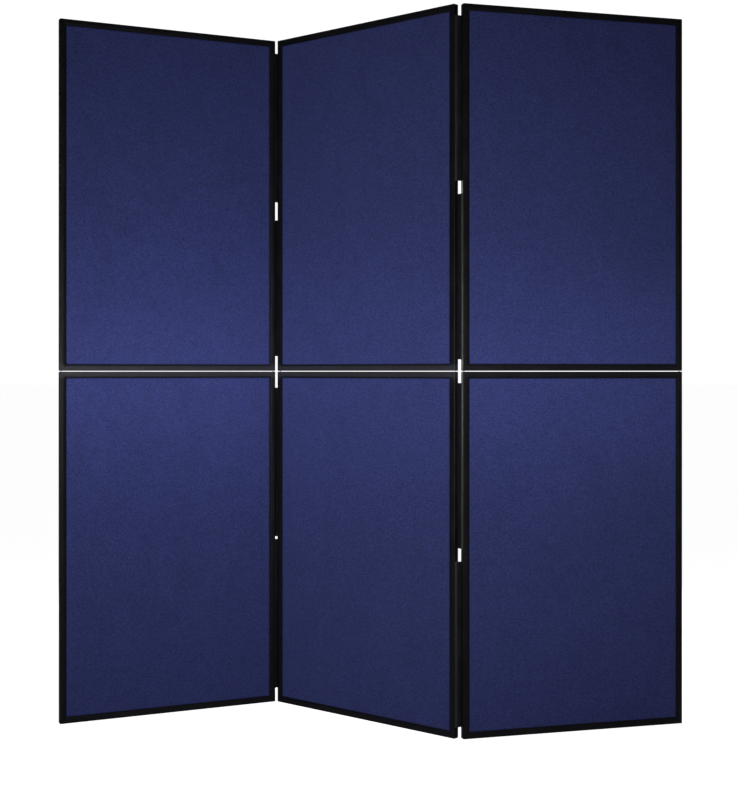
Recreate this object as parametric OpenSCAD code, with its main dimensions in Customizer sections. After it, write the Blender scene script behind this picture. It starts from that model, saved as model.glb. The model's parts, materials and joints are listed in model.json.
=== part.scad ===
// Folding display wall: two rows of three fabric panels, framed in black plastic section and joined by
// flexible hinge strips that let the side columns fold both ways. It stands in a zigzag on its lower edges.
// X runs along the wall, the front faces -Y and Z is up. The origin is on the floor, under the middle of the
// box that holds the wall as it stands.

/* [Panels] */
// Width of one panel, over its frame
panel_w = 600; // [400:5:1000]
// Height of one panel, over its frame
panel_h = 900; // [600:5:1200]
// Gap between the lower and the upper row
row_gap = 2; // [1:0.5:8]
// Radius of a panel's outer corners
corner_r = 2.5; // [1:0.5:5]

/* [Board] */
// Thickness of a covered board, with both fabrics
board_t = 10; // [8:0.5:16]
// Thickness of the fabric on each face
fabric_t = 0.8; // [0.4:0.1:1.5]
// Room between the board's edge and the floor of the frame's slot
board_play = 0.2; // [0.1:0.1:1]

/* [Frame section] */
// Width of the frame on the panel's face
face_w = 16.5; // [13.5:0.25:24]
// Width of the flat crown along the outer edge
crown_w = 7.5; // [5:0.5:9]
// Height of the crown above the slot's wall
crown_h = 2.4; // [1.8:0.1:4]
// Height of the inner lip above the slot's wall
lip_h = 0.65; // [0.4:0.05:1.2]
// Room between the fabric and the slot's wall
slot_play = 0.1; // [0.05:0.05:0.3]
// Rounding of the section's outer corners
edge_r = 1.2; // [0.5:0.1:1.6]
// Depth of the board slot's floor below the outer edge
slot_floor = 9; // [8.5:0.25:11]
// Thickness of the skin outside the key chamber
skin_t = 1.6; // [1.2:0.1:1.8]
// Depth of the key chamber
chamber_d = 5.8; // [5.5:0.1:6]

/* [Hinge groove] */
// Distance from the panel's face to the middle of a hinge groove
groove_inset = 2.2; // [2.1:0.02:2.64]
// Radius of a hinge groove
groove_r = 1.35; // [1.2:0.05:1.4]
// Depth of the groove's middle below the outer edge
groove_depth = 2.6; // [2.4:0.1:3]
// Width of the groove's mouth
mouth_w = 1.3; // [1.1:0.1:1.6]
// Wall between a groove and the key chamber
groove_wall = 0.75; // [0.5:0.05:1.2]

/* [Hinge strips] */
// Thickness of a hinge strip
strip_t = 0.7; // [0.5:0.05:0.9]
// Radius of the bead along each edge of a strip
bead_r = 1; // [0.8:0.05:1.1]
// Gap between a strip and the nearest end of its panel
strip_end_gap = 28; // [15:1:60]
// Gap between the two strips of one panel
strip_mid_gap = 32; // [28:1:80]
// Length missing from the one strip that was cut short
short_strip_cut = 35; // [0:1:60]
// Gap between the faces of two panels folded flat together
fold_gap = 2; // [1.5:0.1:5]
// Distance from a panel's edge to the line it turns about
pivot_inset = 1.85; // [1.5:0.05:2.4]

/* [Corner keys and row pegs] */
// Length of a corner key's arms
key_len = 42; // [36:1:60]
// Room between a key and its chamber
key_play = 0.2; // [0.1:0.05:0.4]
// Radius of a row peg
peg_r = 2; // [1.5:0.1:2.1]
// Depth of a row peg in the lower panel
peg_sunk = 24; // [12:1:32]
// Height of a row peg above the lower panel
peg_proud = 20; // [12:1:32]
// Room between a peg and the key that it is driven into
peg_fit = 0.03; // [0.01:0.01:0.05]
// Room between a peg and the panel that lifts off it
peg_play = 0.3; // [0.1:0.05:0.3]

/* [Stance] */
// Turn of the middle panel, its right edge towards the front
middle_turn = 42.2; // [0:0.1:60]
// Fold of the left column from flat, towards the front
left_fold = 67.5; // [0:0.5:90]
// Fold of the right column from flat, towards the back
right_fold = 58; // [0:0.5:90]

/* [Hidden] */
ROWS = ["lower", "upper"];
COLUMNS = ["left", "middle", "right"];
HINGES = ["left", "right"];
PANEL_PIECES = [
    "left_stile", "right_stile", "bottom_rail", "top_rail", "board", "front_fabric", "back_fabric", "corner_keys"
];

FRAME_COLOUR = [0.11, 0.11, 0.13];
FABRIC_COLOUR = [0.19, 0.21, 0.42];
BOARD_COLOUR = [0.72, 0.62, 0.46];
KEY_COLOUR = [0.3, 0.3, 0.32];
PEG_COLOUR = [0.7, 0.7, 0.72];
STRIP_COLOUR = [0.06, 0.06, 0.07];
ROUND = 64;      // facets drawn for a small round
CUT = 1;         // how far a cut runs past what it cuts
BEND_STEPS = 18; // straight steps along a strip's bend
BEND_REACH = 4;  // how far a strip leaves an edge before it turns across the gap

// Section sizes, across the thickness
slot_half = board_t / 2 + slot_play;
half_t = slot_half + crown_h;
frame_t = 2 * half_t;
groove_y = half_t - groove_inset;
chamber_half = groove_y - groove_r - groove_wall;
flank_w = face_w - crown_w;
flank_drop = crown_h - lip_h;
flank_r = (flank_w * flank_w + flank_drop * flank_drop) / (2 * flank_drop);
board_inset = slot_floor + board_play;
peg_inset = skin_t + chamber_d / 2;

// How far each strip has slipped up or down its grooves, for the left and the right hinge, from the floor up
STRIP_SLIPS = [[9, -16, 12, -6], [0, 0, 0, 0]];

// Strips on one panel's height
strip_len = (panel_h - 2 * strip_end_gap - strip_mid_gap) / 2;
upper_row_z = panel_h + row_gap;

// Plan of the zigzag, seen from above
hinge_pitch = frame_t + fold_gap;
middle_a = -middle_turn;
left_a = middle_a + left_fold;
right_a = middle_a + right_fold;
left_pivot_in = [0, 0];
right_pivot_in = way(middle_a) * (panel_w - 2 * pivot_inset);
left_pivot_out = left_pivot_in - way(middle_a + left_fold / 2) * hinge_pitch;
right_pivot_out = right_pivot_in + way(middle_a + right_fold / 2) * hinge_pitch;
loose_places = [
    concat(left_pivot_out - way(left_a) * (panel_w - pivot_inset), left_a),
    concat(left_pivot_in - way(middle_a) * pivot_inset, middle_a),
    concat(right_pivot_out - way(right_a) * pivot_inset, right_a)
];

// The wall is moved so that the origin is under the middle of its box
rounds = [
    for (place = loose_places) for (x = [edge_r, panel_w - edge_r]) for (y = [edge_r - half_t, half_t - edge_r])
    in_plan(place, [x, y])
];
shift = -[middle_of([for (p = rounds) p.x]), middle_of([for (p = rounds) p.y])];
places = [for (place = loose_places) [place.x + shift.x, place.y + shift.y, place[2]]];

function way(a) = [cos(a), sin(a)];
function middle_of(values) = (min(values) + max(values)) / 2;
function in_plan(place, p) = [place.x, place.y] + p.x * way(place[2]) + p.y * way(place[2] + 90);

// A point on a curve that starts at a, ends at d and is drawn towards b and c
function bend(a, b, c, d, t) =
    pow(1 - t, 3) * a + 3 * pow(1 - t, 2) * t * b + 3 * (1 - t) * t * t * c + pow(t, 3) * d;
function bend_way(a, b, c, d, t) =
    let (v = 3 * pow(1 - t, 2) * (b - a) + 6 * (1 - t) * t * (c - b) + 3 * t * t * (d - c)) v / norm(v);
function left_of(v) = [-v.y, v.x];

// ---- frame section: x runs inwards from the panel's outer edge, y across its thickness ----

module crown() {
    translate([edge_r, -half_t]) square([crown_w - edge_r, frame_t]);
    translate([0, edge_r - half_t]) square([crown_w, frame_t - 2 * edge_r]);
    for (side = [-1, 1])
        translate([edge_r, side * (half_t - edge_r)]) circle(r = edge_r, $fn = ROUND);
}

module flank() {
    intersection() {
        translate([crown_w, half_t - flank_r]) circle(r = flank_r, $fn = 4 * ROUND);
        translate([crown_w, 0]) square([flank_w, half_t]);
    }
}

module hinge_groove() {
    translate([groove_depth, 0]) circle(r = groove_r, $fn = ROUND);
    translate([-CUT, -mouth_w / 2]) square([CUT + groove_depth, mouth_w]);
}

module frame_section() {
    difference() {
        union() {
            crown();
            flank();
            mirror([0, 1]) flank();
        }
        translate([slot_floor, -slot_half]) square([face_w - slot_floor + CUT, 2 * slot_half]);
        translate([skin_t, -chamber_half]) square([chamber_d, 2 * chamber_half]);
        for (side = [-1, 1])
            translate([0, side * groove_y]) hinge_groove();
    }
}

// ---- one panel: x from its left edge, y through its thickness, z from its bottom edge ----

// A flat shape drawn in x and z, made as thick as the frame and a little more
module through_panel() {
    translate([0, half_t + CUT, 0]) rotate([90, 0, 0]) linear_extrude(height = frame_t + 2 * CUT) children();
}

module panel_outline() {
    translate([corner_r, 0]) square([panel_w - 2 * corner_r, panel_h]);
    translate([0, corner_r]) square([panel_w, panel_h - 2 * corner_r]);
    for (x = [corner_r, panel_w - corner_r])
        for (z = [corner_r, panel_h - corner_r])
            translate([x, z]) circle(r = corner_r, $fn = ROUND);
}

// A length of frame section, mitred at both ends and rounded at the panel's corners
module mitred(length) {
    intersection() {
        children();
        through_panel() intersection() {
            panel_outline();
            polygon([[0, 0], [face_w, face_w], [face_w, length - face_w], [0, length]]);
        }
    }
}

module left_stile() {
    color(FRAME_COLOUR) mitred(panel_h) linear_extrude(height = panel_h) frame_section();
}

module right_stile() {
    translate([panel_w, 0, 0]) mirror([1, 0, 0]) left_stile();
}

module bottom_rail(row) {
    color(FRAME_COLOUR) difference() {
        intersection() {
            translate([panel_w, 0, 0]) rotate([0, -90, 0]) linear_extrude(height = panel_w) frame_section();
            through_panel() intersection() {
                panel_outline();
                polygon([[0, 0], [panel_w, 0], [panel_w - face_w, face_w], [face_w, face_w]]);
            }
        }
        if (row == 1)
            for (x = [peg_inset, panel_w - peg_inset])
                translate([x, 0, -CUT]) cylinder(r = peg_r + peg_play, h = CUT + face_w, $fn = ROUND);
    }
}

module top_rail(row) {
    color(FRAME_COLOUR) difference() {
        translate([0, 0, panel_h]) mirror([0, 0, 1]) bottom_rail(0);
        if (row == 0)
            for (x = [peg_inset, panel_w - peg_inset])
                translate([x, 0, panel_h - face_w]) cylinder(r = peg_r + peg_play, h = CUT + face_w, $fn = ROUND);
    }
}

module covered_sheet(y, thickness) {
    translate([board_inset, y, board_inset])
        cube([panel_w - 2 * board_inset, thickness, panel_h - 2 * board_inset]);
}

module board() {
    color(BOARD_COLOUR) covered_sheet(fabric_t - board_t / 2, board_t - 2 * fabric_t);
}

module front_fabric() {
    color(FABRIC_COLOUR) covered_sheet(-board_t / 2, fabric_t);
}

module back_fabric() {
    color(FABRIC_COLOUR) covered_sheet(board_t / 2 - fabric_t, fabric_t);
}

// One key at the bottom left corner, with a peg's hole down its upright arm where a peg goes
module corner_key(hole_r, hole_depth) {
    inset = skin_t + key_play;
    arm_d = chamber_d - 2 * key_play;
    arm_t = 2 * (chamber_half - key_play);
    difference() {
        union() {
            translate([inset, -arm_t / 2, inset]) cube([key_len, arm_t, arm_d]);
            translate([inset, -arm_t / 2, inset]) cube([arm_d, arm_t, key_len]);
        }
        if (hole_depth > 0)
            translate([peg_inset, 0, 0]) cylinder(r = hole_r, h = hole_depth, $fn = ROUND);
    }
}

module key_pair(hole_r, hole_depth) {
    corner_key(hole_r, hole_depth);
    translate([panel_w, 0, 0]) mirror([1, 0, 0]) corner_key(hole_r, hole_depth);
}

// The lower row's upper keys hold the pegs, and the upper row's lower keys rest on the pegs' tips
module corner_keys(row) {
    color(KEY_COLOUR) {
        key_pair(peg_r + peg_play, row == 1 ? peg_proud - row_gap : 0);
        translate([0, 0, panel_h]) mirror([0, 0, 1]) key_pair(peg_r + peg_fit, row == 0 ? peg_sunk : 0);
    }
}

module panel_piece(row, piece) {
    if (piece == "left_stile") left_stile();
    if (piece == "right_stile") right_stile();
    if (piece == "bottom_rail") bottom_rail(row);
    if (piece == "top_rail") top_rail(row);
    if (piece == "board") board();
    if (piece == "front_fabric") front_fabric();
    if (piece == "back_fabric") back_fabric();
    if (piece == "corner_keys") corner_keys(row);
}

module standing(col) {
    translate([places[col].x, places[col].y, 0]) rotate([0, 0, places[col][2]]) children();
}

// ---- row pegs: two for a column, with a short taper at the tip ----

module row_peg() {
    taper = peg_r / 2;
    translate([0, 0, -peg_sunk]) cylinder(r = peg_r, h = peg_sunk + peg_proud - taper, $fn = ROUND);
    translate([0, 0, peg_proud - taper]) cylinder(r1 = peg_r, r2 = peg_r - taper, h = taper, $fn = ROUND);
}

module row_pegs() {
    color(PEG_COLOUR)
        for (x = [peg_inset, panel_w - peg_inset])
            translate([x, 0, panel_h]) row_peg();
}

// ---- hinge strips: a bead in a groove of each panel, and a web that bends across the gap ----

// side is -1 where the strip starts in the left-hand panel's front groove, and 1 where it starts in the back.
// The spine holds points along the strip's middle, each with the way that the strip runs there.
module strip_section(left_place, right_place, side) {
    start = [panel_w, side * groove_y];
    finish = [0, -side * groove_y];
    a = in_plan(left_place, start);
    b = in_plan(left_place, start + [BEND_REACH, 0]);
    c = in_plan(right_place, finish - [BEND_REACH, 0]);
    d = in_plan(right_place, finish);
    left_bead = in_plan(left_place, start - [groove_depth, 0]);
    right_bead = in_plan(right_place, finish + [groove_depth, 0]);
    spine = concat(
        [[left_bead, way(left_place[2])]],
        [for (i = [0 : BEND_STEPS]) let (t = i / BEND_STEPS) [bend(a, b, c, d, t), bend_way(a, b, c, d, t)]],
        [[right_bead, way(right_place[2])]]
    );
    polygon(concat(
        [for (i = [0 : len(spine) - 1]) spine[i][0] - left_of(spine[i][1]) * strip_t / 2],
        [for (i = [len(spine) - 1 : -1 : 0]) spine[i][0] + left_of(spine[i][1]) * strip_t / 2]
    ));
    for (bead = [left_bead, right_bead])
        translate(bead) circle(r = bead_r, $fn = ROUND);
}

// Number i of the four strips of one hinge, counted from the floor: [height of its foot, its length]
function strip_span(hinge, i) =
    let (foot = strip_end_gap + (i % 2) * (strip_len + strip_mid_gap) + (i > 1 ? upper_row_z : 0))
    [foot + STRIP_SLIPS[hinge][i], strip_len - (hinge == 0 && i == 2 ? short_strip_cut : 0)];

module hinge_strip(hinge, i) {
    span = strip_span(hinge, i);
    color(STRIP_COLOUR) translate([0, 0, span[0]]) linear_extrude(height = span[1])
        strip_section(places[hinge], places[hinge + 1], i % 3 == 0 ? -1 : 1);
}

for (row = [0, 1])
    for (col = [0 : 2])
        for (piece = PANEL_PIECES)
            translate([0, 0, row * upper_row_z]) standing(col) panel_piece(row, piece);
for (col = [0 : 2])
    standing(col) row_pegs();
for (hinge = [0, 1])
    for (i = [0 : 3])
        hinge_strip(hinge, i);
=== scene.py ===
"""Folding display wall: puts on its cloth and hinge strips, its finishes and the studio around it."""

import json
import math

import bmesh
import bpy
from bpy.props import FloatProperty, FloatVectorProperty, IntProperty, PointerProperty
from mathutils import Matrix, Vector


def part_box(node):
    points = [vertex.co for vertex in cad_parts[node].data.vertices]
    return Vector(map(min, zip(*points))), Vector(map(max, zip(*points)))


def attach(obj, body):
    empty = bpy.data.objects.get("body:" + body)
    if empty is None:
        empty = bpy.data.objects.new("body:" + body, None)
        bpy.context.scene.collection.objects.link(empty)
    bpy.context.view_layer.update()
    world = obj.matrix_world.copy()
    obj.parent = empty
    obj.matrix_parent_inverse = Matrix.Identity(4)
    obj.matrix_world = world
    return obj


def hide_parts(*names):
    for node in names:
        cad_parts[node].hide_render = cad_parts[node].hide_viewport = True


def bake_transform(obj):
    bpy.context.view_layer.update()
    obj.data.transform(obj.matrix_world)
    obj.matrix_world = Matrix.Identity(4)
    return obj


bl_info = {
    "name": "Folding Display Wall",
    "version": (1, 0, 0),
    "blender": (4, 5, 0),
    "location": "3D Viewport > Sidebar > Display Wall",
    "description": "Covers the boards, fits the hinge strips, finishes the frames and sets up the studio",
    "category": "Object",
}

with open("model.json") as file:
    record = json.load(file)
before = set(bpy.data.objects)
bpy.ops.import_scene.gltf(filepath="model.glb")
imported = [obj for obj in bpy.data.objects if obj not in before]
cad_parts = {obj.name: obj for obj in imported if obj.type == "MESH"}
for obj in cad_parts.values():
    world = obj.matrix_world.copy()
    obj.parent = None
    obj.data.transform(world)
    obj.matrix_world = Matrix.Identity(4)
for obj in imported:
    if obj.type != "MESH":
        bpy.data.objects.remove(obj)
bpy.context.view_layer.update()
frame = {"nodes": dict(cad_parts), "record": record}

ROWS = ("lower", "upper")
COLUMNS = ("left", "middle", "right")
HINGES = ("left", "right")
BARS = ("left_stile", "right_stile", "bottom_rail", "top_rail")
MOUNTS = {mount["name"]: mount for mount in frame["record"]["mounts"]}
MM = 0.001
MID_HEIGHT = 0.901

# How strongly each column's rails get a painted highlight, a lighter plastic colour, where the rows meet,
# from 0 to 1.
ROW_HIGHLIGHT_SHARE = {"left": 0.85, "middle": 0.95, "right": 0.1}

# The face by which each of a hinge's strips leaves the left panel, from the floor up: -1 front, 1 back.
STRIP_SIDES = (-1, 1, 1, -1)

# A bead's facets, and its end bevel as a share of its radius.
BEAD_SIDES = 20
BEAD_EASE = 0.12

# Lesser tints within a finish, and the colours of painted highlight and shade.
DUST = (0.2, 0.2, 0.2, 1)
SPECKS = (0.3, 0.3, 0.32, 1)
# Painted highlight: lighter plastic for the rails where the rows meet.
ROW_HIGHLIGHT = (0.035, 0.035, 0.044, 1)
MITRE_SEAM = (0.002, 0.002, 0.002, 1)
# Painted shade: near-black, blue-tinted colour for the frame's inner flank where it meets the cloth.
FRAME_ROOT_SHADE = (0.0012, 0.0014, 0.003, 1)
LINT = (0.35, 0.36, 0.42, 1)
# Painted shadow: dark blue for the cloth beside the frame's lip.
CLOTH_BORDER_SHADOW = (0.004, 0.006, 0.02, 1)
STRIP_CREASE = (0.05, 0.05, 0.055, 1)
DARK_FIBRE = (0.2, 0.13, 0.065, 1)
DRAWN_RINGS = (0.36, 0.36, 0.37, 1)
TARNISH = (0.22, 0.2, 0.18, 1)
PALE_FLOOR = (0.9, 0.9, 0.9, 1)
GREY_FLOOR = (0.88, 0.88, 0.885, 1)
CLOTH_SHEEN = (0.6, 0.62, 1.0, 1.0)

# The studio. The floor and the room look white to the camera, and dim to everything else.
FLOOR_SIZE = 600
FLOOR_GLOW = 0.9
ROOM_WHITE = 1.05
SENSOR_WIDTH = 36
NEAR_CLIP, FAR_CLIP = 0.05, 100
LAMP_ROW = -2.2
SOFT_BOX = (0.6, 0.4)
BACK_BOX = (1.2, 0.8)
LEFT_COLUMN_LAMP, LEFT_COLUMN_AIM = (0.1, -1.37, MID_HEIGHT), (-0.58, 0.08, MID_HEIGHT)

# Name, place, aim, size, spread in degrees, and power as a share of the key light's.
FRONT_LIGHTS = (
    ("key_left", (-1.6, LAMP_ROW, MID_HEIGHT), (-0.64, 0.0, MID_HEIGHT), SOFT_BOX, 180, 1.0),
    ("grid_left", (-1.2, LAMP_ROW, MID_HEIGHT), (-0.48, 0.0, MID_HEIGHT), SOFT_BOX, 60, 0.13),
    ("grid_middle", (0.0, LAMP_ROW, MID_HEIGHT), (0.0, 0.0, MID_HEIGHT), SOFT_BOX, 60, 0.04),
    ("grid_right", (0.6, LAMP_ROW, MID_HEIGHT), (0.24, 0.0, MID_HEIGHT), SOFT_BOX, 90, 0.22),
    ("grid_far_right", (1.4, LAMP_ROW, MID_HEIGHT), (0.56, 0.0, MID_HEIGHT), SOFT_BOX, 60, 0.04),
    ("strip_front", (0.0, -1.0, MID_HEIGHT), (0.0, 0.0, MID_HEIGHT), (2.4, 0.1), 45, 0.042),
    ("wash_left", LEFT_COLUMN_LAMP, LEFT_COLUMN_AIM, SOFT_BOX, 40, 0.012),
    ("glow_left", LEFT_COLUMN_LAMP, LEFT_COLUMN_AIM, (0.6, 0.05), 16, 0.013),
)
BACK_LIGHTS = (
    ("back_left", (-1.3, 2.2, 1.3), (-0.4, 0.0, 0.9)),
    ("back_right", (1.3, 2.2, 1.3), (0.4, 0.0, 0.9)),
)
MIRRORED_LIGHTS = ("key_left", "grid_right", "back_left", "back_right")


# ---- settings ----


def length(name, description, value, **more):
    return FloatProperty(name=name, description=description, default=value, unit="LENGTH", **more)


def turned(name, description, degrees):
    return FloatProperty(name=name, description=description, default=math.radians(degrees), subtype="ANGLE")


def power(name, description, watts):
    return FloatProperty(name=name, description=description, default=watts, unit="POWER")


def colour(name, description, value):
    return FloatVectorProperty(
        name=name, description=description, default=value, size=3, min=0, max=1, subtype="COLOR",
    )


class PanelSizes(bpy.types.PropertyGroup):
    """Sizes of one panel, its frame section and its covered board"""

    width: length("Panel Width", "Width of a panel over its frame", 0.6)
    height: length("Panel Height", "Height of a panel over its frame", 0.9)
    row_gap: length("Row Gap", "Gap between the two rows", 0.002)
    thickness: length("Frame Thickness", "Thickness of the frame section", 0.015)
    face: length("Frame Face", "Width of the frame on the panel's face", 0.0165)
    crown: length("Crown Width", "Width of the flat crown along the outer edge", 0.0075)
    cloth_inset: length("Cloth Inset", "Distance from the panel's edge to the cloth's hidden edge", 0.0092)
    cloth_plane: length("Cloth Plane", "Distance from the panel's middle to the cloth's outer face", 0.005)
    cloth_thickness: length("Cloth Thickness", "Thickness of the loop cloth", 0.0008)
    cloth_dip: length(
        "Cloth Unevenness", "How far the cloth dips where it is bonded closest to the board", 0.00025,
        precision=5,
    )
    cloth_step: length("Cloth Mesh Step", "Spacing of the cloth's mesh", 0.008)


class StripSizes(bpy.types.PropertyGroup):
    """Sizes of the flexible hinge strips and of the grooves that hold them"""

    thickness: length("Strip Thickness", "Thickness of a strip's web", 0.0007, precision=5)
    bead: length("Bead Radius", "Radius of the bead along each edge of a strip", 0.001)
    groove_y: length("Groove Offset", "Distance of a groove from the panel's middle plane", 0.0053)
    groove_depth: length("Groove Depth", "Depth of a groove's middle below the panel's edge", 0.0026)
    reach: length("Bend Reach", "How far a strip's bend is drawn straight out of each panel's edge", 0.0044)
    steps: IntProperty(
        name="Bend Steps", description="Steps along one half of a strip's bend", default=12, min=4, max=40,
    )


class Stance(bpy.types.PropertyGroup):
    """How the wall stands in its zigzag"""

    left: turned("Left Turn", "Turn of the left column", 25.3)
    middle: turned("Middle Turn", "Turn of the middle column", -42.2)
    right: turned("Right Turn", "Turn of the right column", 15.8)


class Finishes(bpy.types.PropertyGroup):
    """Colours of the wall's materials"""

    cloth: colour("Cloth", "Loop cloth in its pile", (0.050, 0.0615, 0.22))
    cloth_deep: colour("Cloth Depths", "Loop cloth between its loops", (0.021, 0.0275, 0.103))
    frame: colour("Frame", "Extruded plastic of the frames", (0.0026, 0.0028, 0.0044))
    frame_worn: colour("Frame Wear", "Rubbed edges of the frames", (0.013, 0.013, 0.016))
    strip: colour("Hinge Strip", "Flexible plastic of the strips", (0.007, 0.007, 0.008))
    board: colour("Board", "Fibre board", (0.42, 0.31, 0.18))
    key: colour("Corner Key", "Moulded corner keys", (0.07, 0.07, 0.078))
    peg: colour("Row Peg", "Drawn steel of the pegs", (0.58, 0.58, 0.6))


class Studio(bpy.types.PropertyGroup):
    """Camera and lights"""

    camera_place: FloatVectorProperty(
        name="Camera Place", description="Where the camera stands", default=(-0.1425, -3.7468, 0.901),
        size=3, subtype="TRANSLATION",
    )
    lens: FloatProperty(name="Lens", description="Focal length in millimetres", default=65.05)
    shift_x: FloatProperty(name="Shift X", description="Sideways shift of the view", default=0.068)
    shift_y: FloatProperty(name="Shift Y", description="Upward shift of the view", default=-0.036)
    key_power: power("Key Light", "Power of the key light, which the other front lights follow", 14.5)
    back_power: power("Back Lights", "Power of each light behind the wall", 16.0)
    surround: FloatProperty(
        name="Surround", description="Brightness of the room for everything but the camera", default=0.09,
    )


def settings():
    return bpy.context.scene.display_wall


# ---- places ----


def turn_of(column):
    return getattr(settings().stance, column)


def way(angle):
    return Vector((math.cos(angle), math.sin(angle), 0))


def cloth_size():
    """Width and height of one cloth sheet, laid flat."""
    sizes = settings().panel
    return sizes.width - 2 * sizes.cloth_inset, sizes.height - 2 * sizes.cloth_inset


def panel_frame(column):
    """The panel's own axes: x from its left edge, -y its front, z up from the floor."""
    turn = turn_of(column)
    foot = Vector(MOUNTS[f"{column}_foot_edge"]["pos_m"])
    corner = foot - way(turn) * settings().panel.width / 2
    return Matrix.Translation(corner) @ Matrix.Rotation(turn, 4, "Z")


# ---- modelling helpers ----


def start_clean():
    if bpy.context.object is not None and bpy.context.object.mode != "OBJECT":
        bpy.ops.object.mode_set(mode="OBJECT")
    bpy.ops.object.select_all(action="DESELECT")


def only(obj):
    start_clean()
    obj.select_set(True)
    bpy.context.view_layer.objects.active = obj


def settle(obj, name):
    """Names a piece and puts its place into its mesh."""
    obj.name = name
    obj.data.name = name
    only(obj)
    bpy.ops.object.transform_apply(location=True, rotation=True, scale=True)
    return obj


def copy_of(obj, name, placing):
    made = obj.copy()
    made.data = obj.data.copy()
    bpy.context.scene.collection.objects.link(made)
    made.matrix_world = placing
    return settle(made, name)


def apply_modifier(obj, kind, **values):
    only(obj)
    modifier = obj.modifiers.new(kind.title(), kind)
    for key, value in values.items():
        setattr(modifier, key, value)
    bpy.ops.object.modifier_apply(modifier=modifier.name)


def give(obj, material):
    obj.data.materials.clear()
    obj.data.materials.append(material)


def repaint(node_name, material):
    """Gives a carried-over CAD piece a finish."""
    for place in frame["nodes"][node_name].material_slots:
        place.material = material


# ---- node helpers ----


def node(tree, kind, inputs=None, **values):
    made = tree.nodes.new(kind)
    for key, value in values.items():
        setattr(made, key, value)
    for key, value in (inputs or {}).items():
        if isinstance(value, bpy.types.NodeSocket):
            tree.links.new(value, made.inputs[key])
        else:
            made.inputs[key].default_value = value
    return made


def maths(tree, operation, *values, clamp=False):
    inputs = dict(enumerate(values))
    return node(tree, "ShaderNodeMath", inputs, operation=operation, use_clamp=clamp).outputs[0]


def ramp(tree, value, low, high, to_low=0.0, to_high=1.0):
    """Maps low..high to to_low..to_high, smoothly and held at both ends."""
    inputs = {"Value": value, "From Min": low, "From Max": high, "To Min": to_low, "To Max": to_high}
    return node(tree, "ShaderNodeMapRange", inputs, interpolation_type="SMOOTHSTEP").outputs[0]


def noise(tree, vector, scale, detail=2.0, roughness=0.5, distortion=0.0):
    inputs = {
        "Vector": vector, "Scale": scale, "Detail": detail, "Roughness": roughness, "Distortion": distortion,
    }
    return node(tree, "ShaderNodeTexNoise", inputs).outputs[0]


def voronoi(tree, vector, scale, **values):
    """Distance to the nearest of a field of scattered points."""
    return node(tree, "ShaderNodeTexVoronoi", {"Vector": vector, "Scale": scale}, **values).outputs[0]


def grey(tree, value):
    """A colour with one value in all three parts."""
    return node(tree, "ShaderNodeCombineXYZ", {0: value, 1: value, 2: value}).outputs[0]


def object_place(tree):
    return tree.nodes.new("ShaderNodeTexCoord").outputs["Object"]


def stretched(tree, vector, scale):
    return node(tree, "ShaderNodeMapping", {"Vector": vector, "Scale": scale}).outputs[0]


def blended(tree, share, a, b, mode="MIX"):
    made = node(tree, "ShaderNodeMix", data_type="RGBA", blend_type=mode)
    for index, value in ((0, share), (6, a), (7, b)):
        if isinstance(value, bpy.types.NodeSocket):
            tree.links.new(value, made.inputs[index])
        else:
            made.inputs[index].default_value = value
    return made.outputs[2]


def opaque(values):
    return (*values, 1.0)


def new_group(name, inputs, outputs):
    """A node group with its input and output nodes. Each socket is (name, kind)."""
    tree = bpy.data.node_groups.new(name, "ShaderNodeTree")
    for direction, sockets in (("INPUT", inputs), ("OUTPUT", outputs)):
        for socket_name, kind in sockets:
            tree.interface.new_socket(socket_name, in_out=direction, socket_type="NodeSocket" + kind)
    return tree, tree.nodes.new("NodeGroupInput").outputs, tree.nodes.new("NodeGroupOutput")


def put_out(tree, end, values):
    for key, value in values.items():
        tree.links.new(value, end.inputs[key])


def use(tree, name, inputs):
    """Places one of the shared groups in a material."""
    made = tree.nodes.new("ShaderNodeGroup")
    made.node_tree = GROUPS[name]()
    for key, value in inputs.items():
        if isinstance(value, bpy.types.NodeSocket):
            tree.links.new(value, made.inputs[key])
        else:
            made.inputs[key].default_value = value
    return made.outputs


def new_material(name, **shader):
    """A material with one Principled shader, whose constant sockets are set here."""
    material = bpy.data.materials.new(name)
    material.use_nodes = True
    tree = material.node_tree
    tree.nodes.clear()
    sockets = {key.replace("_", " "): value for key, value in shader.items()}
    surface = node(tree, "ShaderNodeBsdfPrincipled", sockets)
    out = tree.nodes.new("ShaderNodeOutputMaterial")
    tree.links.new(surface.outputs[0], out.inputs["Surface"])
    return material, tree, surface


def feed(tree, surface, colour_out, roughness_out, height_out, strength, distance):
    tree.links.new(colour_out, surface.inputs["Base Color"])
    tree.links.new(roughness_out, surface.inputs["Roughness"])
    bump = node(tree, "ShaderNodeBump", {"Height": height_out, "Strength": strength, "Distance": distance})
    tree.links.new(bump.outputs[0], surface.inputs["Normal"])


# ---- shared node groups ----


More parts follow.
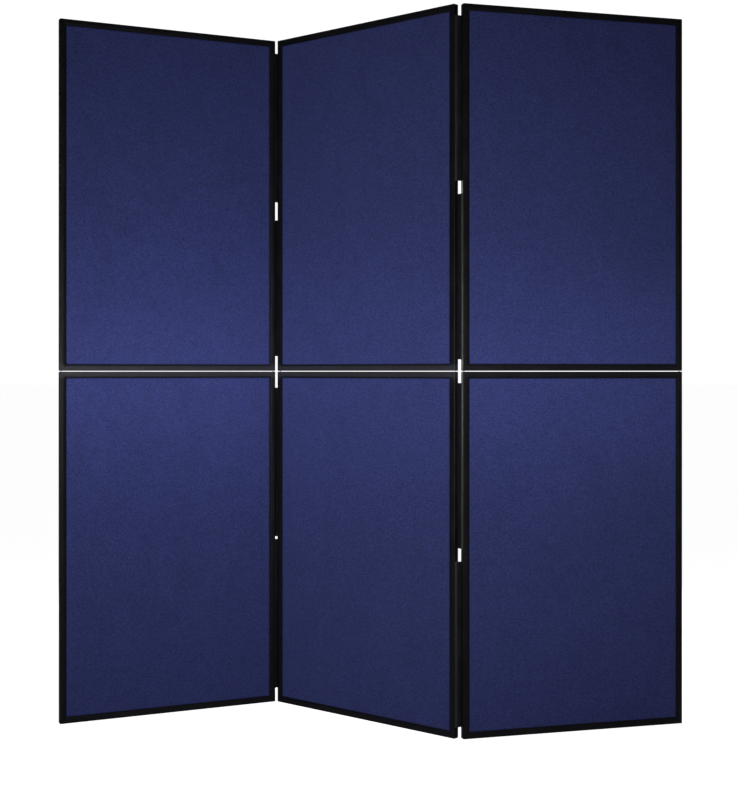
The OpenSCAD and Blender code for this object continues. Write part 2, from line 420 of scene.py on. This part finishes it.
def panel_place_group():
    """How far a point is from its panel's edge, mitre and middle plane, and from where the rows meet."""
    if "Panel Place" in bpy.data.node_groups:
        return bpy.data.node_groups["Panel Place"]
    sizes = settings().panel
    tree, given, end = new_group(
        "Panel Place", [("Vector", "Vector")],
        [
            ("Edge", "Float"), ("Mitre", "Float"), ("Depth", "Float"),
            ("Meeting", "Float"), ("Grain", "Vector"),
        ],
    )
    parts = node(tree, "ShaderNodeSeparateXYZ", {0: given["Vector"]}).outputs
    upper = maths(tree, "GREATER_THAN", parts[2], sizes.height + sizes.row_gap / 2)
    z = maths(tree, "MULTIPLY_ADD", upper, -(sizes.height + sizes.row_gap), parts[2])
    side = maths(tree, "MINIMUM", parts[0], maths(tree, "SUBTRACT", sizes.width, parts[0]))
    end_on = maths(tree, "MINIMUM", z, maths(tree, "SUBTRACT", sizes.height, z))
    edge = maths(tree, "MINIMUM", side, end_on)
    apart = maths(tree, "ABSOLUTE", maths(tree, "SUBTRACT", side, end_on))
    mitre = maths(tree, "MULTIPLY", apart, math.sqrt(0.5))
    rail = maths(tree, "LESS_THAN", end_on, side)
    along_rail = maths(tree, "MULTIPLY", parts[0], rail)
    along_stile = maths(tree, "MULTIPLY", parts[2], maths(tree, "SUBTRACT", 1.0, rail))
    grain = node(tree, "ShaderNodeCombineXYZ", {
        0: maths(tree, "ADD", along_rail, along_stile),
        1: edge,
        2: maths(tree, "ADD", parts[1], maths(tree, "MULTIPLY_ADD", rail, 3.0, upper)),
    }).outputs[0]
    meeting = maths(tree, "ABSOLUTE", maths(tree, "SUBTRACT", parts[2], sizes.height + sizes.row_gap / 2))
    put_out(tree, end, {
        "Edge": edge,
        "Mitre": mitre,
        "Depth": maths(tree, "ABSOLUTE", parts[1]),
        "Meeting": meeting,
        "Grain": grain,
    })
    return tree


def die_lines_group():
    """Fine lines that run the length of an extruded section, with slow waves in its surface."""
    if "Die Lines" in bpy.data.node_groups:
        return bpy.data.node_groups["Die Lines"]
    tree, given, end = new_group("Die Lines", [("Grain", "Vector")], [("Lines", "Float"), ("Waves", "Float")])
    lines = noise(tree, stretched(tree, given["Grain"], (1.5, 2200, 2200)), 1.0, 3.0, 0.6)
    waves = noise(tree, stretched(tree, given["Grain"], (6, 90, 90)), 1.0, 2.0)
    put_out(tree, end, {"Lines": lines, "Waves": waves})
    return tree


def dust_group():
    """Settled dust, lint and handling marks: a soft cloudy film with scattered specks."""
    if "Dust" in bpy.data.node_groups:
        return bpy.data.node_groups["Dust"]
    tree, given, end = new_group(
        "Dust", [("Vector", "Vector"), ("Amount", "Float")], [("Film", "Float"), ("Specks", "Float")],
    )
    film = ramp(tree, noise(tree, given["Vector"], 9.0, 5.0, 0.65, 0.6), 0.42, 0.8)
    cells = voronoi(tree, given["Vector"], 140.0)
    rare = maths(tree, "GREATER_THAN", noise(tree, given["Vector"], 61.0, 1.0), 0.6)
    specks = maths(tree, "MULTIPLY", ramp(tree, cells, 0.03, 0.085, 1.0, 0.0), rare)
    put_out(tree, end, {
        "Film": maths(tree, "MULTIPLY", film, given["Amount"]),
        "Specks": maths(tree, "MULTIPLY", specks, given["Amount"]),
    })
    return tree


def section_plastic_group():
    """Extruded black section: die lines, rubbed corners, a painted highlight on the rails where the rows
    meet, dark where it is mitred, and painted shade where it meets the cloth.
    """
    if "Section Plastic" in bpy.data.node_groups:
        return bpy.data.node_groups["Section Plastic"]
    sizes = settings().panel
    tree, given, end = new_group(
        "Section Plastic",
        [("Vector", "Vector"), ("Colour", "Color"), ("Worn Colour", "Color"), ("Row Wear", "Float")],
        [("Colour", "Color"), ("Roughness", "Float"), ("Height", "Float")],
    )
    place = use(tree, "panel place", {"Vector": given["Vector"]})
    lines = use(tree, "die lines", {"Grain": place["Grain"]})
    dust = use(tree, "dust", {"Vector": given["Vector"], "Amount": 1.0})
    half = sizes.thickness / 2
    outer = maths(
        tree, "MULTIPLY",
        ramp(tree, place["Edge"], 0.3 * MM, 1.6 * MM, 1.0, 0.0),
        ramp(tree, place["Depth"], half - 1.5 * MM, half - 0.3 * MM),
    )
    from_crown = maths(tree, "ABSOLUTE", maths(tree, "SUBTRACT", place["Edge"], sizes.crown))
    crown_break = ramp(tree, from_crown, 0.15 * MM, 0.8 * MM, 1.0, 0.0)
    patchy = noise(tree, stretched(tree, place["Grain"], (14, 300, 300)), 1.0, 4.0, 0.7)
    patchy = ramp(tree, patchy, 0.45, 0.72)
    rubbed = maths(tree, "MULTIPLY_ADD", crown_break, 0.25, outer, clamp=True)
    rubbed = maths(tree, "MULTIPLY", rubbed, patchy)
    worn = blended(tree, rubbed, given["Colour"], given["Worn Colour"])
    streaky = blended(tree, ramp(tree, lines["Lines"], 0.3, 0.75, 0.0, 0.28), worn, given["Worn Colour"])
    # Painted highlight: the rails turn lighter near where the rows meet, by each column's share.
    row_highlight = ramp(tree, place["Meeting"], 9 * MM, 24 * MM, 1.0, 0.0)
    row_highlight = maths(tree, "MULTIPLY", row_highlight, given["Row Wear"])
    row_highlight = maths(tree, "MULTIPLY", row_highlight, ramp(tree, patchy, 0, 1, 0.7, 1.0))
    row_highlighted = blended(tree, row_highlight, streaky, ROW_HIGHLIGHT)
    dusty = blended(tree, maths(tree, "MULTIPLY", dust["Film"], 0.02), row_highlighted, DUST)
    specked = blended(tree, maths(tree, "MULTIPLY", dust["Specks"], 0.22), dusty, SPECKS)
    seam = ramp(tree, place["Mitre"], 0.08 * MM, 0.3 * MM, 0.7, 0.0)
    seamed = blended(tree, seam, specked, MITRE_SEAM)
    # Painted shade: the frame darkens over its last few millimetres towards the cloth, and is rougher there.
    shaded_root = ramp(tree, place["Edge"], sizes.face - 5 * MM, sizes.face - 1 * MM)
    root_shaded = blended(tree, maths(tree, "MULTIPLY", shaded_root, 0.8), seamed, FRAME_ROOT_SHADE)
    rough = maths(tree, "MULTIPLY_ADD", lines["Waves"], 0.14, 0.27)
    rough = maths(tree, "MULTIPLY_ADD", shaded_root, 0.3, rough)
    rough = maths(tree, "MULTIPLY_ADD", rubbed, -0.1, rough)
    rough = maths(tree, "MULTIPLY_ADD", dust["Film"], 0.12, rough, clamp=True)
    height = maths(tree, "MULTIPLY_ADD", lines["Lines"], 0.4, maths(tree, "MULTIPLY", lines["Waves"], 0.6))
    height = maths(tree, "MULTIPLY_ADD", seam, -2.0, height)
    put_out(tree, end, {"Colour": root_shaded, "Roughness": rough, "Height": height})
    return tree


def loop_cloth_group():
    """Brushed loop cloth. Cloth is metres across and up a sheet; Place tells one sheet from the next."""
    if "Loop Cloth" in bpy.data.node_groups:
        return bpy.data.node_groups["Loop Cloth"]
    sizes = settings().panel
    tree, given, end = new_group(
        "Loop Cloth",
        [("Cloth", "Vector"), ("Place", "Vector"), ("Colour", "Color"), ("Deep Colour", "Color")],
        [("Colour", "Color"), ("Roughness", "Float"), ("Height", "Float")],
    )
    wander = {"Vector": given["Cloth"], "Scale": 210.0, "Detail": 2.0}
    wander = node(tree, "ShaderNodeTexNoise", wander).outputs[1]
    nudge = (1.1 * MM, 1.1 * MM, 0.0)
    nudged = node(tree, "ShaderNodeVectorMath", {0: wander, 1: nudge}, operation="MULTIPLY").outputs[0]
    bent = node(tree, "ShaderNodeVectorMath", {0: given["Cloth"], 1: nudged}, operation="ADD").outputs[0]
    loops = node(
        tree, "ShaderNodeTexVoronoi",
        {"Vector": stretched(tree, bent, (1.0, 1.3, 1.0)), "Scale": 560.0, "Randomness": 0.85},
        feature="SMOOTH_F1",
    ).outputs[0]
    loop = ramp(tree, loops, 0.1, 0.62, 1.0, 0.0)
    rows = node(
        tree, "ShaderNodeTexWave",
        {"Vector": bent, "Scale": 110.0, "Distortion": 3.5, "Detail": 2.0, "Detail Scale": 2.0},
        wave_type="BANDS", bands_direction="Y",
    ).outputs[1]
    tufts = noise(tree, given["Cloth"], 150.0, 4.0, 0.62)
    felted = noise(tree, given["Place"], 34.0, 5.0, 0.6, 0.8)
    brushed = noise(tree, stretched(tree, given["Place"], (1.0, 1.0, 0.6)), 5.5, 5.0, 0.55, 1.6)
    fuzz = noise(tree, stretched(tree, bent, (1800, 420, 1)), 1.0, 2.0)
    pile = maths(tree, "MULTIPLY_ADD", loop, 0.55, maths(tree, "MULTIPLY", tufts, 0.5))
    pile = maths(tree, "MULTIPLY_ADD", rows, 0.07, pile)
    pile = maths(tree, "MULTIPLY_ADD", fuzz, 0.12, pile)
    base = blended(tree, ramp(tree, pile, 0.22, 0.95), given["Deep Colour"], given["Colour"])
    patches = ramp(tree, felted, 0.28, 0.72, -0.055, 0.055)
    strokes = ramp(tree, brushed, 0.25, 0.75, 0.955, 1.045)
    toned = blended(tree, 1.0, base, grey(tree, maths(tree, "ADD", patches, strokes)), "MULTIPLY")
    lint_cells = voronoi(tree, stretched(tree, bent, (1.0, 3.0, 1.0)), 38.0)
    lint = maths(
        tree, "MULTIPLY", ramp(tree, lint_cells, 0.012, 0.03, 1.0, 0.0),
        maths(tree, "GREATER_THAN", noise(tree, given["Place"], 23.0, 1.0), 0.62),
    )
    linted = blended(tree, maths(tree, "MULTIPLY", lint, 0.3), toned, LINT)
    # Painted shadow: the cloth darkens within a few millimetres of where it shows past the frame's lip.
    across = node(tree, "ShaderNodeSeparateXYZ", {0: given["Cloth"]}).outputs
    sides = [
        maths(tree, "MINIMUM", part, maths(tree, "SUBTRACT", full, part))
        for part, full in zip(across, cloth_size())
    ]
    shown = sizes.face - sizes.cloth_inset
    border_shadow = ramp(tree, maths(tree, "MINIMUM", *sides), shown - 0.5 * MM, shown + 3.2 * MM, 0.8, 0.0)
    border_shadowed = blended(tree, border_shadow, linted, CLOTH_BORDER_SHADOW)
    rough = ramp(tree, pile, 0.2, 0.95, 0.98, 0.84)
    height = maths(tree, "MULTIPLY_ADD", felted, 0.5, pile)
    put_out(tree, end, {"Colour": border_shadowed, "Roughness": rough, "Height": height})
    return tree


def moulded_grain_group():
    """The fine spark grain of moulded plastic, with flow marks."""
    if "Moulded Grain" in bpy.data.node_groups:
        return bpy.data.node_groups["Moulded Grain"]
    tree, given, end = new_group(
        "Moulded Grain", [("Vector", "Vector"), ("Colour", "Color")],
        [("Colour", "Color"), ("Roughness", "Float"), ("Height", "Float")],
    )
    grain = noise(tree, given["Vector"], 1900.0, 3.0, 0.6)
    flow = noise(tree, given["Vector"], 70.0, 3.0, 0.5, 1.2)
    tone = grey(tree, ramp(tree, flow, 0.3, 0.7, 0.8, 1.25))
    put_out(tree, end, {
        "Colour": blended(tree, 1.0, given["Colour"], tone, "MULTIPLY"),
        "Roughness": ramp(tree, grain, 0.3, 0.7, 0.42, 0.58),
        "Height": maths(tree, "MULTIPLY_ADD", grain, 0.7, maths(tree, "MULTIPLY", flow, 0.3)),
    })
    return tree


GROUPS = {
    "panel place": panel_place_group,
    "die lines": die_lines_group,
    "dust": dust_group,
    "section plastic": section_plastic_group,
    "loop cloth": loop_cloth_group,
    "moulded grain": moulded_grain_group,
}


# ---- materials ----


def on_panel(tree, column):
    """Object coordinates turned and moved into the panel's own axes."""
    placing = panel_frame(column).inverted()
    return node(tree, "ShaderNodeMapping", {
        "Vector": object_place(tree),
        "Location": placing.to_translation(),
        "Rotation": placing.to_euler(),
    }).outputs[0]


def frame_material(column):
    colours = settings().finish
    material, tree, surface = new_material(f"Frame Plastic {column.title()}", IOR=1.5, Specular_IOR_Level=0.2)
    made = use(tree, "section plastic", {
        "Vector": on_panel(tree, column),
        "Colour": opaque(colours.frame),
        "Worn Colour": opaque(colours.frame_worn),
        "Row Wear": ROW_HIGHLIGHT_SHARE[column],
    })
    feed(tree, surface, made["Colour"], made["Roughness"], made["Height"], 0.25, 0.1 * MM)
    return material


def cloth_material():
    colours = settings().finish
    material, tree, surface = new_material(
        "Loop Cloth Blue", Specular_IOR_Level=0.18,
        Sheen_Weight=0.15, Sheen_Roughness=0.5, Sheen_Tint=CLOTH_SHEEN,
    )
    unwrapped = tree.nodes.new("ShaderNodeTexCoord").outputs["UV"]
    made = use(tree, "loop cloth", {
        "Cloth": stretched(tree, unwrapped, (*cloth_size(), 1.0)),
        "Place": object_place(tree),
        "Colour": opaque(colours.cloth),
        "Deep Colour": opaque(colours.cloth_deep),
    })
    feed(tree, surface, made["Colour"], made["Roughness"], made["Height"], 0.6, 0.35 * MM)
    return material


def strip_material():
    colours = settings().finish
    material, tree, surface = new_material(
        "Hinge Strip Plastic", Specular_IOR_Level=0.5, Coat_Weight=0.1, Coat_Roughness=0.35,
    )
    coordinates = object_place(tree)
    upright = node(tree, "ShaderNodeMapping", {"Vector": coordinates, "Rotation": (0.0, math.pi / 2, 0.0)})
    lines = use(tree, "die lines", {"Grain": upright.outputs[0]})
    dust = use(tree, "dust", {"Vector": coordinates, "Amount": 0.8})
    crease = ramp(tree, noise(tree, stretched(tree, coordinates, (120, 120, 26)), 1.0, 4.0, 0.7), 0.52, 0.74)
    whitened = blended(tree, maths(tree, "MULTIPLY", crease, 0.25), opaque(colours.strip), STRIP_CREASE)
    dusty = blended(tree, maths(tree, "MULTIPLY", dust["Film"], 0.06), whitened, DUST)
    rough = maths(tree, "MULTIPLY_ADD", lines["Waves"], 0.2, 0.28)
    height = maths(tree, "MULTIPLY_ADD", lines["Lines"], 0.6, crease)
    feed(tree, surface, dusty, rough, height, 0.3, 0.08 * MM)
    return material


def board_material():
    colours = settings().finish
    material, tree, surface = new_material("Fibre Board", Specular_IOR_Level=0.25)
    coordinates = object_place(tree)
    fibres = noise(tree, stretched(tree, coordinates, (900, 900, 160)), 1.0, 4.0, 0.65, 0.6)
    flecks = voronoi(tree, stretched(tree, coordinates, (1, 1, 0.35)), 420.0)
    mixed = maths(tree, "MULTIPLY_ADD", flecks, 0.4, maths(tree, "MULTIPLY", fibres, 0.8))
    base = blended(tree, ramp(tree, mixed, 0.25, 0.8), DARK_FIBRE, opaque(colours.board))
    feed(tree, surface, base, ramp(tree, fibres, 0.3, 0.7, 0.95, 0.75), mixed, 0.5, 0.15 * MM)
    return material


def key_material():
    material, tree, surface = new_material("Corner Key Plastic", Specular_IOR_Level=0.5)
    made = use(tree, "moulded grain", {
        "Vector": object_place(tree),
        "Colour": opaque(settings().finish.key),
    })
    feed(tree, surface, made["Colour"], made["Roughness"], made["Height"], 0.4, 0.06 * MM)
    return material


def peg_material():
    colours = settings().finish
    material, tree, surface = new_material("Drawn Steel", Metallic=1.0, Anisotropic=0.4)
    coordinates = object_place(tree)
    drawn = noise(tree, stretched(tree, coordinates, (5200, 5200, 70)), 1.0, 3.0, 0.6)
    rings = noise(tree, stretched(tree, coordinates, (60, 60, 1500)), 1.0, 3.0, 0.6)
    tarnish = ramp(tree, noise(tree, coordinates, 260.0, 4.0, 0.6), 0.5, 0.75)
    bright = blended(tree, ramp(tree, rings, 0.35, 0.7, 0.0, 0.35), opaque(colours.peg), DRAWN_RINGS)
    base = blended(tree, maths(tree, "MULTIPLY", tarnish, 0.4), bright, TARNISH)
    rough = maths(tree, "MULTIPLY_ADD", tarnish, 0.18, ramp(tree, drawn, 0.3, 0.7, 0.2, 0.34))
    feed(tree, surface, base, rough, maths(tree, "ADD", drawn, rings), 0.2, 0.03 * MM)
    return material


def floor_material():
    material, tree, surface = new_material("Pale Floor", Specular_IOR_Level=0.2)
    coordinates = object_place(tree)
    grain = noise(tree, coordinates, 240.0, 3.0)
    clouds = noise(tree, coordinates, 0.9, 3.0)
    base = blended(tree, ramp(tree, clouds, 0.3, 0.7, 0.0, 0.5), PALE_FLOOR, GREY_FLOOR)
    feed(tree, surface, base, ramp(tree, grain, 0.3, 0.7, 0.8, 0.95), grain, 0.1, 0.05 * MM)
    surface.inputs["Emission Color"].default_value = (1, 1, 1, 1)
    glow = maths(tree, "MULTIPLY", tree.nodes.new("ShaderNodeLightPath").outputs["Is Camera Ray"], FLOOR_GLOW)
    tree.links.new(glow, surface.inputs["Emission Strength"])
    return material


# ---- pieces ----


class WALL_OT_cover_boards(bpy.types.Operator):
    """Stretches the loop cloth over both faces of every board"""

    bl_idname = "wall.cover_boards"
    bl_label = "Cover Boards"

    def execute(self, context):
        sizes = settings().panel
        width, height = cloth_size()
        cloth = cloth_material()
        lumps = bpy.data.textures.new("Cloth Unevenness", "CLOUDS")
        lumps.noise_scale = 0.045
        lumps.noise_depth = 2
        start_clean()
        bpy.ops.mesh.primitive_grid_add(
            x_subdivisions=round(width / sizes.cloth_step), y_subdivisions=round(height / sizes.cloth_step),
            size=1, rotation=(math.pi / 2, 0, 0),
        )
        context.object.scale = (width, height, 1)
        master = settle(context.object, "cloth_master")
        for row, foot in zip(ROWS, (0, sizes.height + sizes.row_gap)):
            for column in COLUMNS:
                for face, facing in (("front", 0), ("back", math.pi)):
                    panel_node = f"{row}_{column}"
                    middle = Vector((sizes.width / 2, 0, foot + sizes.height / 2))
                    outward = Matrix.Rotation(facing, 4, "Z") @ Matrix.Translation((0, -sizes.cloth_plane, 0))
                    placing = panel_frame(column) @ Matrix.Translation(middle) @ outward
                    piece = copy_of(master, f"{panel_node}_{face}_cloth", placing)
                    apply_modifier(
                        piece, "DISPLACE", texture=lumps, texture_coords="GLOBAL",
                        mid_level=1.0, strength=sizes.cloth_dip,
                    )
                    thickness = sizes.cloth_thickness - sizes.cloth_dip
                    apply_modifier(piece, "SOLIDIFY", thickness=thickness, offset=-1)
                    only(piece)
                    bpy.ops.object.shade_smooth_by_angle(angle=math.radians(40))
                    give(piece, cloth)
                    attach(piece, panel_node)
                    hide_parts(f"{panel_node}_{face}_fabric")
        bpy.data.objects.remove(master)
        return {"FINISHED"}


class WALL_OT_finish_frames(bpy.types.Operator):
    """Gives the frame bars their extruded black plastic"""

    bl_idname = "wall.finish_frames"
    bl_label = "Finish Frames"

    def execute(self, context):
        for column in COLUMNS:
            plastic = frame_material(column)
            for row in ROWS:
                for bar in BARS:
                    repaint(f"{row}_{column}_{bar}", plastic)
        return {"FINISHED"}


class WALL_OT_finish_insides(bpy.types.Operator):
    """Gives the boards, the corner keys and the row pegs their finishes"""

    bl_idname = "wall.finish_insides"
    bl_label = "Finish Boards, Keys and Pegs"

    def execute(self, context):
        board, key, peg = board_material(), key_material(), peg_material()
        for column in COLUMNS:
            repaint(f"{column}_row_pegs", peg)
            for row in ROWS:
                repaint(f"{row}_{column}_board", board)
                repaint(f"{row}_{column}_corner_keys", key)
        return {"FINISHED"}


def bend(a, b, c, d, t):
    """A point on a curve that starts at a, ends at d and is drawn towards b and c."""
    return (1 - t) ** 3 * a + 3 * (1 - t) ** 2 * t * b + 3 * (1 - t) * t * t * c + t ** 3 * d


def strip_path(left, right, side):
    """The middle line of a strip in plan, bead to bead, leaving the left panel by its front or back side."""
    sizes = settings().strip
    width = settings().panel.width
    left_frame, right_frame = panel_frame(left), panel_frame(right)
    start, finish = Vector((width, side * sizes.groove_y, 0)), Vector((0, -side * sizes.groove_y, 0))
    deep, reach = Vector((sizes.groove_depth, 0, 0)), Vector((sizes.reach, 0, 0))
    a, b = left_frame @ start, left_frame @ (start + reach)
    c, d = right_frame @ (finish - reach), right_frame @ finish
    count = 2 * sizes.steps
    run = [bend(a, b, c, d, i / count) for i in range(count + 1)]
    return [left_frame @ (start - deep), *run, right_frame @ (finish + deep)]


def ribbon(path, foot, top):
    """An upright ribbon along a path in plan: one upright edge, extruded step by step."""
    start_clean()
    bpy.ops.mesh.primitive_plane_add(size=top - foot, rotation=(math.pi / 2, 0, 0))
    made = bpy.context.object
    bpy.ops.object.transform_apply(location=True, rotation=True, scale=True)
    bpy.ops.object.mode_set(mode="EDIT")
    bpy.ops.mesh.select_mode(type="VERT")
    bpy.ops.mesh.select_all(action="DESELECT")
    mesh = bmesh.from_edit_mesh(made.data)
    for vertex in mesh.verts:
        vertex.select_set(vertex.co.x > 0)
    mesh.select_flush(True)
    bmesh.update_edit_mesh(made.data)
    bpy.ops.mesh.delete(type="VERT")
    bpy.ops.mesh.select_all(action="SELECT")
    half = (top - foot) / 2
    bpy.ops.transform.translate(value=path[0] + Vector((half, 0, foot + half)))
    for here, there in zip(path, path[1:]):
        bpy.ops.mesh.extrude_region_move(TRANSFORM_OT_translate={"value": there - here})
    bpy.ops.object.mode_set(mode="OBJECT")
    return made


def bead(centre, foot, top, name):
    """The round bead along a strip's edge, with its end edges eased."""
    radius = settings().strip.bead
    start_clean()
    bpy.ops.mesh.primitive_cylinder_add(
        vertices=BEAD_SIDES, radius=radius, depth=top - foot, end_fill_type="NGON",
        location=(centre.x, centre.y, (foot + top) / 2),
    )
    made = settle(bpy.context.object, name)
    apply_modifier(
        made, "BEVEL", width=BEAD_EASE * radius, segments=2,
        limit_method="ANGLE", angle_limit=math.radians(50),
    )
    return made


class WALL_OT_fit_hinge_strips(bpy.types.Operator):
    """Makes each hinge strip in two halves that bend between the panels and the hinge's middle"""

    bl_idname = "wall.fit_hinge_strips"
    bl_label = "Fit Hinge Strips"

    def execute(self, context):
        sizes = settings().strip
        plastic = strip_material()
        for index, hinge in enumerate(HINGES):
            left, right = COLUMNS[index], COLUMNS[index + 1]
            for number, side in enumerate(STRIP_SIDES):
                strip_node = f"{hinge}_hinge_strip_{number + 1}"
                low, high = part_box(strip_node)
                path = strip_path(left, right, side)
                middle = len(path) // 2
                for panel, run, name in (
                    (left, path[:middle + 1], f"{strip_node}_left_half"),
                    (right, path[middle:][::-1], f"{strip_node}_right_half"),
                ):
                    piece = ribbon(run, low.z, high.z)
                    apply_modifier(
                        piece, "SOLIDIFY", thickness=sizes.thickness, offset=0, use_even_offset=True,
                    )
                    edge = bead(run[0], low.z, high.z, f"{name}_bead")
                    only(piece)
                    edge.select_set(True)
                    bpy.ops.object.join()
                    settle(piece, name)
                    bpy.ops.object.shade_smooth_by_angle(angle=math.radians(35))
                    give(piece, plastic)
                    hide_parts(strip_node)
                    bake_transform(piece)
        return {"FINISHED"}


def white_room(surround):
    """A world that is white to the camera and has the surround's brightness for everything else."""
    room = bpy.data.worlds.new("White Room")
    room.use_nodes = True
    tree = room.node_tree
    tree.nodes.clear()
    camera_ray = tree.nodes.new("ShaderNodeLightPath").outputs["Is Camera Ray"]
    strength = maths(tree, "MULTIPLY_ADD", camera_ray, ROOM_WHITE - surround, surround)
    shade = node(tree, "ShaderNodeBackground", {"Color": (1, 1, 1, 1), "Strength": strength})
    out = tree.nodes.new("ShaderNodeOutputWorld")
    tree.links.new(shade.outputs[0], out.inputs["Surface"])
    return room


def hang_light(name, place, aim, size, spread, watts):
    """A soft box that the camera doesn't see. Its spread is in degrees."""
    lamp = bpy.data.lights.new(name, "AREA")
    lamp.shape = "RECTANGLE"
    lamp.size, lamp.size_y = size
    lamp.spread = math.radians(spread)
    lamp.energy = watts
    light = bpy.data.objects.new(name, lamp)
    bpy.context.scene.collection.objects.link(light)
    light.location = place
    light.rotation_euler = (Vector(aim) - Vector(place)).to_track_quat("-Z", "Y").to_euler()
    light.visible_camera = False
    light.visible_glossy = name in MIRRORED_LIGHTS


class WALL_OT_build_studio(bpy.types.Operator):
    """Lays the pale floor and sets up the room, the soft lights and the camera"""

    bl_idname = "wall.build_studio"
    bl_label = "Build Studio"

    def execute(self, context):
        scene, studio = context.scene, settings().studio
        start_clean()
        bpy.ops.mesh.primitive_plane_add(size=FLOOR_SIZE)
        floor = settle(context.object, "studio_floor")
        give(floor, floor_material())
        scene.world = white_room(studio.surround)
        for name, place, aim, size, spread, share in FRONT_LIGHTS:
            hang_light(name, place, aim, size, spread, share * studio.key_power)
        for name, place, aim in BACK_LIGHTS:
            hang_light(name, place, aim, BACK_BOX, 180, studio.back_power)

        lens = bpy.data.cameras.new("camera")
        lens.lens = studio.lens
        lens.sensor_width = SENSOR_WIDTH
        lens.shift_x, lens.shift_y = studio.shift_x, studio.shift_y
        lens.clip_start, lens.clip_end = NEAR_CLIP, FAR_CLIP
        camera = bpy.data.objects.new("camera", lens)
        scene.collection.objects.link(camera)
        camera.location = studio.camera_place
        camera.rotation_euler = (math.pi / 2, 0, 0)
        scene.camera = camera
        scene.view_settings.view_transform = "Standard"
        return {"FINISHED"}


class DisplayWall(bpy.types.PropertyGroup):
    """Everything a user would change on the wall"""

    panel: PointerProperty(name="Panels", description="Sizes of a panel", type=PanelSizes)
    strip: PointerProperty(name="Hinge Strips", description="Sizes of a hinge strip", type=StripSizes)
    stance: PointerProperty(name="Stance", description="How the wall stands", type=Stance)
    finish: PointerProperty(name="Finishes", description="Colours of the materials", type=Finishes)
    studio: PointerProperty(name="Studio", description="Camera and lights", type=Studio)


OPERATORS = (
    WALL_OT_build_studio, WALL_OT_finish_frames, WALL_OT_finish_insides,
    WALL_OT_cover_boards, WALL_OT_fit_hinge_strips,
)


class WALL_PT_sidebar(bpy.types.Panel):
    """Display wall tools"""

    bl_idname = "WALL_PT_sidebar"
    bl_label = "Display Wall"
    bl_space_type = "VIEW_3D"
    bl_region_type = "UI"
    bl_category = "Display Wall"

    def draw(self, context):
        for operator in OPERATORS:
            self.layout.operator(operator.bl_idname)
        wall = context.scene.display_wall
        for name in ("panel", "strip", "stance", "finish", "studio"):
            box = self.layout.box()
            part = getattr(wall, name)
            for key in part.bl_rna.properties.keys():
                if key not in ("rna_type", "name"):
                    box.prop(part, key)


CLASSES = (PanelSizes, StripSizes, Stance, Finishes, Studio, DisplayWall, *OPERATORS, WALL_PT_sidebar)


def register():
    for item in CLASSES:
        bpy.utils.register_class(item)
    bpy.types.Scene.display_wall = PointerProperty(type=DisplayWall)


def unregister():
    del bpy.types.Scene.display_wall
    for item in reversed(CLASSES):
        bpy.utils.unregister_class(item)


def main():
    register()
    bpy.ops.wall.build_studio()
    bpy.ops.wall.finish_frames()
    bpy.ops.wall.finish_insides()
    bpy.ops.wall.cover_boards()
    bpy.ops.wall.fit_hinge_strips()


if __name__ == "__main__":
    main()
